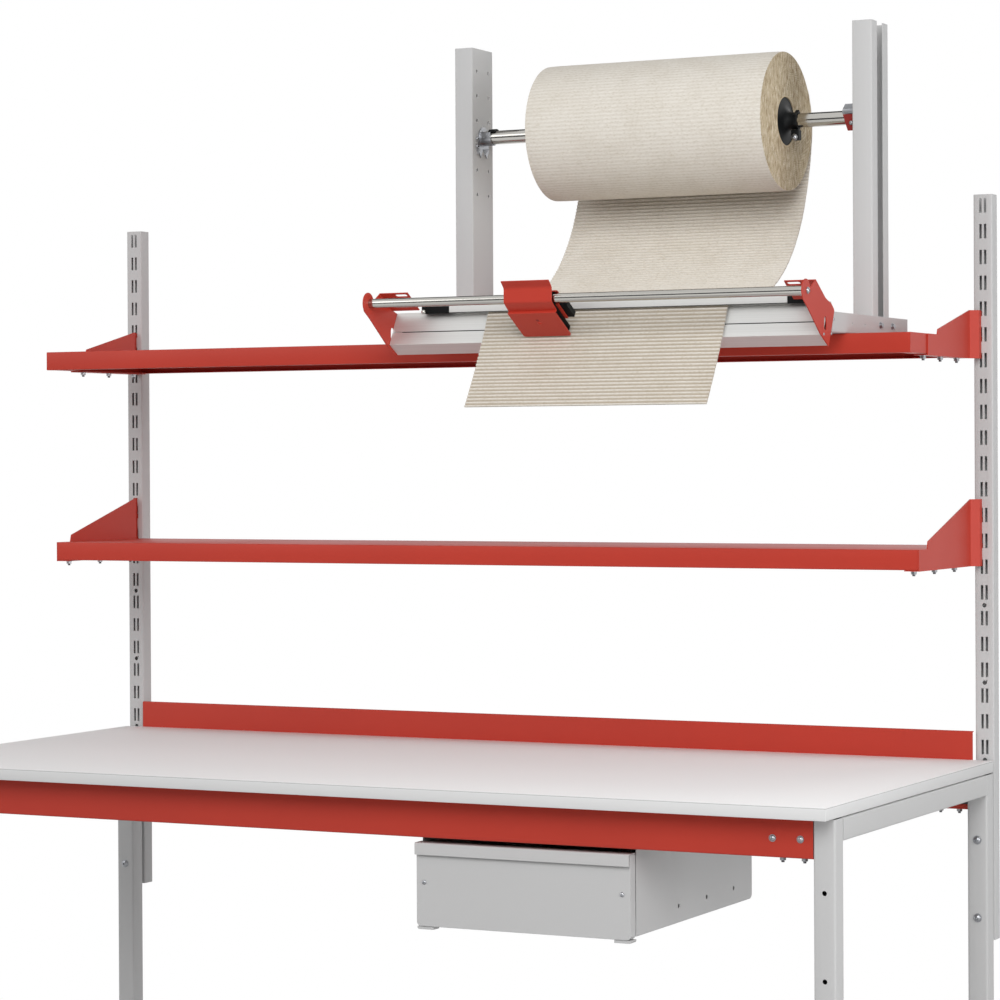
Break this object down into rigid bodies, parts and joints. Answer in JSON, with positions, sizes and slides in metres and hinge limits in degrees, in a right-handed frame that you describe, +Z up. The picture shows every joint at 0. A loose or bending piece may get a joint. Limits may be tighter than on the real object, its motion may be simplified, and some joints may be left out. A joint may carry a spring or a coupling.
{
  "type": "packing table",
  "caption": "Steel framed packing table with a laminate top, shelves on slotted uprights, a paper roll holder with a sliding cutter, and a drawer under the top.",
  "frame": {"origin": "floor level, under the middle of the whole table's width and depth", "axes": "+X to the user's right along the table, +Y away from the user towards the slotted uprights, +Z up"},
  "size_m": [2, 0.941, 2.2696],
  "materials": {
    "laminate": "pale grey melamine on chipboard, fine satin grain",
    "grey_paint": "light grey powder coat, satin",
    "red_paint": "red powder coat, satin",
    "steel": "drawn and polished steel",
    "aluminium": "clear anodised extrusion",
    "zinc": "zinc plated sheet and screws",
    "black_plastic": "moulded black plastic",
    "paper": "warm grey corrugated wrapping paper",
    "core_board": "wound cardboard tube"
  },
  "bodies": {
    "root": {"table_top": "laminate", "leg_front_left": "grey_paint", "leg_front_right": "grey_paint", "leg_back_left": "grey_paint", "leg_back_right": "grey_paint", "glide_front_left": "black_plastic", "glide_front_right": "black_plastic", "glide_back_left": "black_plastic", "glide_back_right": "black_plastic", "side_rail_left": "grey_paint", "side_rail_right": "grey_paint", "beam_front": "red_paint", "beam_back": "red_paint", "beam_bracket_front_left": "zinc", "beam_bracket_front_right": "zinc", "beam_bracket_back_left": "zinc", "beam_bracket_back_right": "zinc", "back_upstand": "red_paint", "upright_left": "grey_paint", "upright_right": "grey_paint", "shelf_lower": "red_paint", "shelf_upper": "red_paint", "bracket_lower_left": "red_paint", "bracket_lower_right": "red_paint", "bracket_upper_left": "red_paint", "bracket_upper_right": "red_paint", "post_foot_left": "grey_paint", "post_foot_right": "grey_paint", "post_left": "grey_paint", "post_right": "grey_paint", "axle_saddle_left": "zinc", "axle_saddle_right": "zinc", "paper_web": "paper", "cutter_bed": "aluminium", "cutter_end_plate_left": "red_paint", "cutter_end_plate_right": "red_paint", "guide_tube": "steel", "drawer_casing": "grey_paint", "runner_outer_left": "zinc", "runner_outer_right": "zinc"},
    "roll": {"axle": "steel", "core_plug_left": "black_plastic", "core_plug_right": "black_plastic", "roll_core": "core_board", "paper_roll": "paper"},
    "pressure_bar": {"pressure_bar": "aluminium", "pressure_bar_end_left": "black_plastic", "pressure_bar_end_right": "black_plastic", "bar_knob": "steel"},
    "cutting_head": {"slider_cover": "red_paint", "slider_block": "black_plastic", "slider_plate": "red_paint", "blade_holder": "black_plastic", "cutter_blade": "steel"},
    "drawer": {"drawer_box": "grey_paint", "drawer_front": "grey_paint", "drawer_handle": "grey_paint", "runner_inner_left": "zinc", "runner_inner_right": "zinc"}
  },
  "joints": [
    {"name": "drawer_slide", "type": "slide", "parent": "root", "child": "drawer", "axis": [0, -1, 0], "range_m": [0, 0.4]},
    {"name": "cutting_head_slide", "type": "slide", "parent": "root", "child": "cutting_head", "axis": [1, 0, 0], "range_m": [-0.28, 0.48]},
    {"name": "roll_spin", "type": "hinge", "parent": "root", "child": "roll", "pos_m": [0.39, 0.2715, 2.0901], "axis": [1, 0, 0], "continuous": true},
    {"name": "pressure_bar_lift", "type": "slide", "parent": "root", "child": "pressure_bar", "axis": [0, 0, 1], "range_m": [0, 0.006]}
  ]
}
